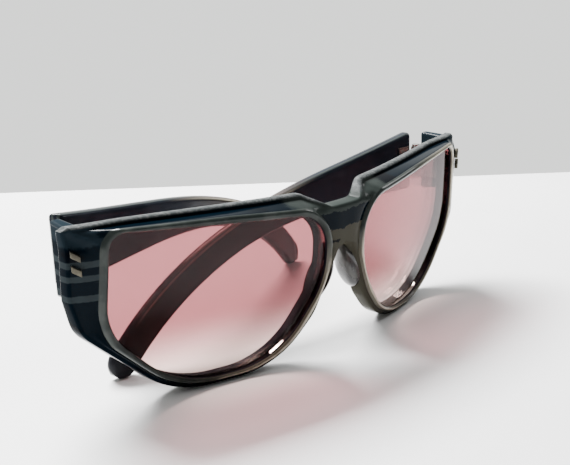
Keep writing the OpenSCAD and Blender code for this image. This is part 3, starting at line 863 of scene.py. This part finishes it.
def edge_colour_and_highlight(s, base):
    """Along the top of the brow the upward-facing outer edge is painted grey with brighter
    sparkles: a painted highlight.
    """
    top = s.both(s.facing(s.nz, "brow_up"), s.past(s.z, "brow_top"))
    return s.blend(top, base, s.blend(s.mottle("highlight_sparkles"), TOP_HIGHLIGHT, TOP_HIGHLIGHT_SPARKLE))


def front_plastic(name, gloss):
    s = Shader(name)
    ax = s.math("ABSOLUTE", s.x)
    base = laminate(s, ax)
    if name == "front_bead":
        base = bead_colour_and_highlight(s, ax, base)
    if name == "front_edge":
        base = edge_colour_and_highlight(s, base)
    s.set(Base_Color=base, IOR=PLASTIC_IOR, Specular_IOR_Level=gloss)
    polish(s)
    return s.material


def inside_plastic():
    """The dull dark wall behind and in front of each lens, seen through the glass."""
    s = Shader("rim_inside")
    s.set(Base_Color=s.blend(s.mottle("inside_cloud"), INSIDE, INSIDE_DARK),
          IOR=PLASTIC_IOR, Specular_IOR_Level=INSIDE_GLOSS)
    polish(s, INSIDE_ROUGH)
    return s.material


# Plastic of the temples: a pair is the colour of the ground and that of the clouds on it

ARM_PAIR = ((0.014, 0.018, 0.026), (0.007, 0.009, 0.015))
# the inner face's pair is painted lighter: painted light where the face lies in shade
ARM_INNER_LIT_PAIR = ((0.034, 0.041, 0.055), (0.022, 0.027, 0.038))
TAIL_PAIR = ((0.020, 0.0185, 0.018), (0.011, 0.0108, 0.0115))
ARM_SMOKY, TIP_DARK = (0.034, 0.040, 0.040), (0.012, 0.0125, 0.015)
# the tail's inner face is painted lighter, as painted light where it lies in shade, and its top
# lighter, as a painted highlight
TAIL_INNER_LIT, TAIL_TOP_HIGHLIGHT = (0.040, 0.033, 0.031), (0.11, 0.088, 0.078)
# how much of the outer face is painted navy: painted shade where the lamp behind lights it
ARM_GLOSS, OUTER_SHADE_COVER, LAYER_SWING, LAYER_SOFT = 0.06, 0.72, 0.5 * MM, 0.08 * MM
# Across a temple from its inner face: two smoky layers, the painted highlight line, the face
# itself
SMOKY_LAYERS = ((0.5 * MM, 1.3 * MM), (2.2 * MM, 2.9 * MM))
HIGHLIGHT_CREAM_LINE, INNER_FACE = (0.1 * MM, 0.45 * MM), (0.35 * MM, 0.15 * MM)


def temple_plastic(side, fold):
    """Dark laminate with smoky layers seen along its edges, and a brown tail. The inner faces are
    painted lighter, as painted light where they lie in shade. The outer face is painted near
    navy, as painted shade. The tail's top is painted lighter with a painted highlight line.
    """
    pin = pin_of(side)
    s = Shader("temple_laminate_" + word_of(side))
    local = s.add("ShaderNodeMapping", vector_type="TEXTURE")
    s.links.new(s.place, local.inputs["Vector"])
    local.inputs["Location"].default_value = (pin.x, pin.y, 0)
    local.inputs["Rotation"].default_value = (0, 0, -side * fold)
    along, across, _ = s.split(local.outputs[0])
    along = s.math("MULTIPLY", along, -side)
    ragged = s.math("ADD", across, s.swing(s.grain("temple_layers"), LAYER_SWING))
    smoky = s.either(*(s.band(ragged, PIN_STAND + low, PIN_STAND + high, LAYER_SOFT)
                       for low, high in SMOKY_LAYERS))
    cloud = s.mottle("temple_cloud")
    inner = s.step(across, *(PIN_STAND + at for at in INNER_FACE))
    base = s.blend(cloud, *ARM_PAIR)
    base = s.blend(smoky, base, ARM_SMOKY)
    # painted light: the inner face is painted lighter where it lies in shade
    base = s.blend(inner, base, s.blend(cloud, *ARM_INNER_LIT_PAIR))
    # painted highlight: the tail's upward-facing top is painted lighter brown, with a cream line
    # along its inner corner
    upper = s.facing(s.nz, "temple_up")
    line = s.both(upper, s.band(across, *(PIN_STAND + at for at in HIGHLIGHT_CREAM_LINE), LAYER_SOFT))
    tail = s.blend(cloud, *TAIL_PAIR)
    # painted light: the tail's inner face is painted lighter where it lies in shade
    tail = s.blend(inner, tail, TAIL_INNER_LIT)
    tail = s.blend(upper, tail, TAIL_TOP_HIGHLIGHT)
    tail = s.blend(line, tail, HIGHLIGHT_CREAM)
    tail = s.blend(s.past(along, "temple_tip"), tail, TIP_DARK)
    base = s.blend(s.past(along, "temple_tail"), base, tail)
    # painted shade: the outer face, which the lamp behind lights, is painted near navy
    base = s.blend(s.both(s.facing(s.ny, "temple_out"), OUTER_SHADE_COVER), base, NAVY)
    s.set(Base_Color=base, IOR=PLASTIC_IOR, Specular_IOR_Level=ARM_GLOSS)
    polish(s, TEMPLE_ROUGH)
    return s.material


# Lenses, pads, metal and table

CLEAR_TINT, ROSE_TINT = (0.99, 0.91, 0.86), (0.47, 0.27, 0.28)
CLEAR_GLAZE, ROSE_GLAZE = (0.95, 0.93, 0.92), (0.9, 0.82, 0.83)
TINT_SWING, LENS_ROUGH, LENS_IOR = 3 * MM, (0.02, 0.08), 1.35
MIRROR_SHARE, MIRROR_LESS = 0.6, 0.002
PAD_GREY, PAD_VEIN, PAD_CLEAR = (0.055, 0.052, 0.047), (0.012, 0.012, 0.013), 0.15
# Metals: colour, colour where worn, and roughness, which the drawn lines vary
STEEL = ((0.52, 0.50, 0.47), (0.38, 0.36, 0.33), 0.28)
SHIELD_METAL = ((0.09, 0.083, 0.063), (0.055, 0.050, 0.040), 0.45)
ROUGH_LESS, ROUGH_MORE = 0.08, 0.12
TABLE, TABLE_SHADE = (0.86, 0.86, 0.86), (0.80, 0.80, 0.805)
TABLE_ROUGH, TABLE_GLOSS = 0.42, 0.35


def lens_tint():
    """Rose glass, deepest at the brow and nearly clear at the bottom, that mirrors a little."""
    s = Shader("rose_lens")
    height = s.math("ADD", s.z, s.swing(s.grain("tint_cloud"), TINT_SWING))
    clear = s.add("ShaderNodeBsdfTransparent")
    s.feed(clear.inputs["Color"], s.blend(s.past(height, "tint"), CLEAR_TINT, ROSE_TINT))
    s.set(Base_Color=s.blend(s.past(height, "glaze"), CLEAR_GLAZE, ROSE_GLAZE), Metallic=1.0,
          Roughness=s.between(s.mottle("dust"), *LENS_ROUGH))
    edge = s.add("ShaderNodeFresnel")
    edge.inputs["IOR"].default_value = LENS_IOR
    mirror = s.math("MULTIPLY", edge.outputs[0], MIRROR_SHARE)
    glass = s.add("ShaderNodeMixShader")
    for socket, source in zip(glass.inputs, (s.math("SUBTRACT", mirror, MIRROR_LESS, clamp=True),
                                             clear.outputs[0], s.surface.outputs[0])):
        s.links.new(source, socket)
    s.links.new(glass.outputs[0], s.output.inputs["Surface"])
    return s.material


def pad_plastic():
    """Smoky plastic with dark veins that lets a little light through."""
    s = Shader("clear_grey_pad")
    s.set(Base_Color=s.blend(s.mottle("pad_veins"), PAD_GREY, PAD_VEIN), IOR=PLASTIC_IOR,
          Transmission_Weight=PAD_CLEAR)
    polish(s, PAD_ROUGH)
    return s.material


def satin_metal(name, colour, worn, rough):
    """Drawn metal with fine lengthwise lines and duller worn patches."""
    s = Shader(name)
    lines = s.grain("drawn_lines")
    s.set(Base_Color=s.blend(s.mottle("metal_wear"), colour, worn), Metallic=1.0,
          Roughness=s.between(lines, rough - ROUGH_LESS, rough + ROUGH_MORE))
    s.bump(lines, LINE_STRENGTH, BUMP_DEPTH)
    return s.material


def table_material():
    s = Shader("white_table")
    s.set(Base_Color=s.blend(s.mottle("table_cloud"), TABLE, TABLE_SHADE),
          Roughness=TABLE_ROUGH, Specular_IOR_Level=TABLE_GLOSS)
    return s.material


# Assembly

# The metal nodes of each hinge and how far their edges are softened
HINGE_BEVELS = (("front_leaf", 0.12 * MM), ("temple_leaf", 0.12 * MM), ("hinge_screw", 0.12 * MM),
                ("front_rivets", 0.1 * MM), ("temple_rivets", 0.1 * MM))
BEVEL_SEGMENTS, BEVEL_ANGLE = 3, math.radians(50)


def dress(obj, *materials):
    for material in materials:
        obj.data.materials.append(material)


def finish_metal(name, width, material):
    """Softens the edges of a CAD node and gives it a material."""
    obj = frame["nodes"][name]
    bevel = obj.modifiers.new("soft_edges", "BEVEL")
    bevel.width = width
    bevel.segments = BEVEL_SEGMENTS
    bevel.limit_method = "ANGLE"
    bevel.angle_limit = BEVEL_ANGLE
    if not obj.material_slots:
        obj.data.materials.append(material)
    for slot in obj.material_slots:
        slot.material = material


def build_side(side, fold, glass, pad, steel, shield_metal):
    """What each side has: lens, pad, temple, hinge and shields."""
    word = word_of(side)
    for piece, material, slot, node in (
            (build_lens(side, word + "_glass"), glass, "lens_tint", word + "_lens"),
            (build_pad(side, word + "_pad"), pad, "pad_plastic", word + "_nose_pad")):
        dress(piece, material)
        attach(piece, "front")
        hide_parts(node)
    temple = build_temple(side, fold, word + "_temple_shell")
    dress(temple, temple_plastic(side, fold))
    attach(temple, word + "_temple")
    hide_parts(word + "_temple")
    for part, width in HINGE_BEVELS:
        finish_metal(word + "_" + part, width, steel)
    shields = build_shields(side, word + "_plates")
    dress(shields, shield_metal)
    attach(shields, "front")
    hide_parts(word + "_shields")


def build_object():
    front = build_front()
    # in the order of the skins
    dress(front, front_plastic("front_laminate", FACE_GLOSS),
          front_plastic("front_bead", BEAD_GLOSS), inside_plastic(),
          front_plastic("front_edge", EDGE_GLOSS), front_plastic("front_lug", LUG_GLOSS))
    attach(front, "front")
    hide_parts("front_frame")
    shared = (lens_tint(), pad_plastic(), satin_metal("hinge_steel", *STEEL),
              satin_metal("shield_brass", *SHIELD_METAL))
    for side, fold in ((-1, RIGHT_FOLD), (1, LEFT_FOLD)):
        build_side(side, fold, *shared)


# The camera: focal length in pixels of the 570 x 465 photograph, and where it stands

PHOTO_W, SENSOR_W, FOCAL_PX, CLIP_START = 570, 36.0, 968.0, 0.01
CAMERA_YAW, CAMERA_PITCH, CAMERA_ROLL = (math.radians(a) for a in (44.53, 15.63, -2.12))
CAMERA_AT = Vector((-178.0, -158.4, 99.0)) * MM - Vector((0, Y_MID, 0))

# The table: how far it goes ahead of the camera, behind it and to each side
TABLE_FAR, TABLE_NEAR, TABLE_HALF_W, TABLE_Z = 440 * MM, -1.1, 1.3, -0.00005

# Lights: name, place, target, size, power and colour
LIGHTS = (("window_behind", (0.08, 0.52, 0.66), (0, 0.05, 0.0), (0.6, 0.3), 50.0, (1, 1, 1)),
          ("soft_left", (-0.7, 0.3, 0.6), (0, 0, 0.02), (0.5, 0.5), 0.8, (1, 0.96, 0.88)),
          ("lamp_right", (0.75, -0.15, 0.55), (0, 0, 0.02), (0.25, 0.25), 2.0, (1, 1, 1)))

# The room's glow towards the back and from above: axis, from, to, least and most strength
GLOWS = ((1, -0.25, 0.45, 0.10, 1.25), (2, 0.72, 0.97, 0.0, 0.9))
ROOM_TINT, WALL_LIGHT = (0.985, 1.0, 0.98, 1), 1.5


def view_axes():
    """The camera's own right, up and forward."""
    level = math.cos(CAMERA_PITCH)
    forward = Vector((math.sin(CAMERA_YAW) * level, math.cos(CAMERA_YAW) * level,
                      -math.sin(CAMERA_PITCH)))
    right = Vector((math.cos(CAMERA_YAW), -math.sin(CAMERA_YAW), 0))
    up = right.cross(forward)
    upright, tilt = math.cos(CAMERA_ROLL), math.sin(CAMERA_ROLL)
    return upright * right + tilt * up, -tilt * right + upright * up, forward


def add_camera():
    right, up, forward = view_axes()
    data = bpy.data.cameras.new("camera")
    data.sensor_width = SENSOR_W
    data.lens = SENSOR_W * FOCAL_PX / PHOTO_W
    data.clip_start = CLIP_START
    camera = bpy.data.objects.new("camera", data)
    turn = Matrix((right, up, -forward)).transposed().to_4x4()
    camera.matrix_world = Matrix.Translation(CAMERA_AT) @ turn
    bpy.context.scene.collection.objects.link(camera)
    bpy.context.scene.camera = camera


def add_floor():
    """A white table top; its far edge lies where the photograph's does."""
    ahead = Vector((math.sin(CAMERA_YAW), math.cos(CAMERA_YAW), 0))
    aside = Vector((ahead.y, -ahead.x, 0))
    foot = Vector((CAMERA_AT.x, CAMERA_AT.y, TABLE_Z))
    mesh = bmesh.new()
    mesh.faces.new([mesh.verts.new(foot + ahead * a + aside * b)
                    for a, b in ((TABLE_NEAR, -TABLE_HALF_W), (TABLE_NEAR, TABLE_HALF_W),
                                 (TABLE_FAR, TABLE_HALF_W), (TABLE_FAR, -TABLE_HALF_W))])
    bmesh.ops.recalc_face_normals(mesh, faces=mesh.faces)
    table = to_object("table_top", mesh)
    dress(table, table_material())


def add_light(name, place, target, size, power, colour):
    data = bpy.data.lights.new(name, "AREA")
    data.shape = "RECTANGLE"
    data.size, data.size_y = size
    data.energy = power
    data.color = colour
    lamp = bpy.data.objects.new(name, data)
    lamp.location = place
    lamp.rotation_euler = (Vector(target) - Vector(place)).to_track_quat("-Z", "Y").to_euler()
    bpy.context.scene.collection.objects.link(lamp)


def add_world():
    """A pale room, brighter behind the object and above it than in front."""
    world = bpy.data.worlds.new("pale_room")
    world.use_nodes = True
    nodes, links = world.node_tree.nodes, world.node_tree.links
    place, split = nodes.new("ShaderNodeTexCoord"), nodes.new("ShaderNodeSeparateXYZ")
    links.new(place.outputs["Generated"], split.inputs[0])
    room = nodes.new("ShaderNodeMath")
    room.operation = "MAXIMUM"
    for socket, (axis, *limits) in zip(room.inputs, GLOWS):
        glow = nodes.new("ShaderNodeMapRange")
        glow.interpolation_type = "SMOOTHSTEP"
        links.new(split.outputs[axis], glow.inputs["Value"])
        for name, value in zip(("From Min", "From Max", "To Min", "To Max"), limits):
            glow.inputs[name].default_value = value
        links.new(glow.outputs[0], socket)
    # what the camera sees of the room is an even wall
    seen = nodes.new("ShaderNodeLightPath")
    wall = nodes.new("ShaderNodeMix")
    wall.inputs["B"].default_value = WALL_LIGHT
    links.new(seen.outputs["Is Camera Ray"], wall.inputs["Factor"])
    links.new(room.outputs[0], wall.inputs["A"])
    nodes["Background"].inputs["Color"].default_value = ROOM_TINT
    links.new(wall.outputs[0], nodes["Background"].inputs["Strength"])
    bpy.context.scene.world = world


build_object()
add_camera()
add_floor()
add_world()
for light in LIGHTS:
    add_light(*light)
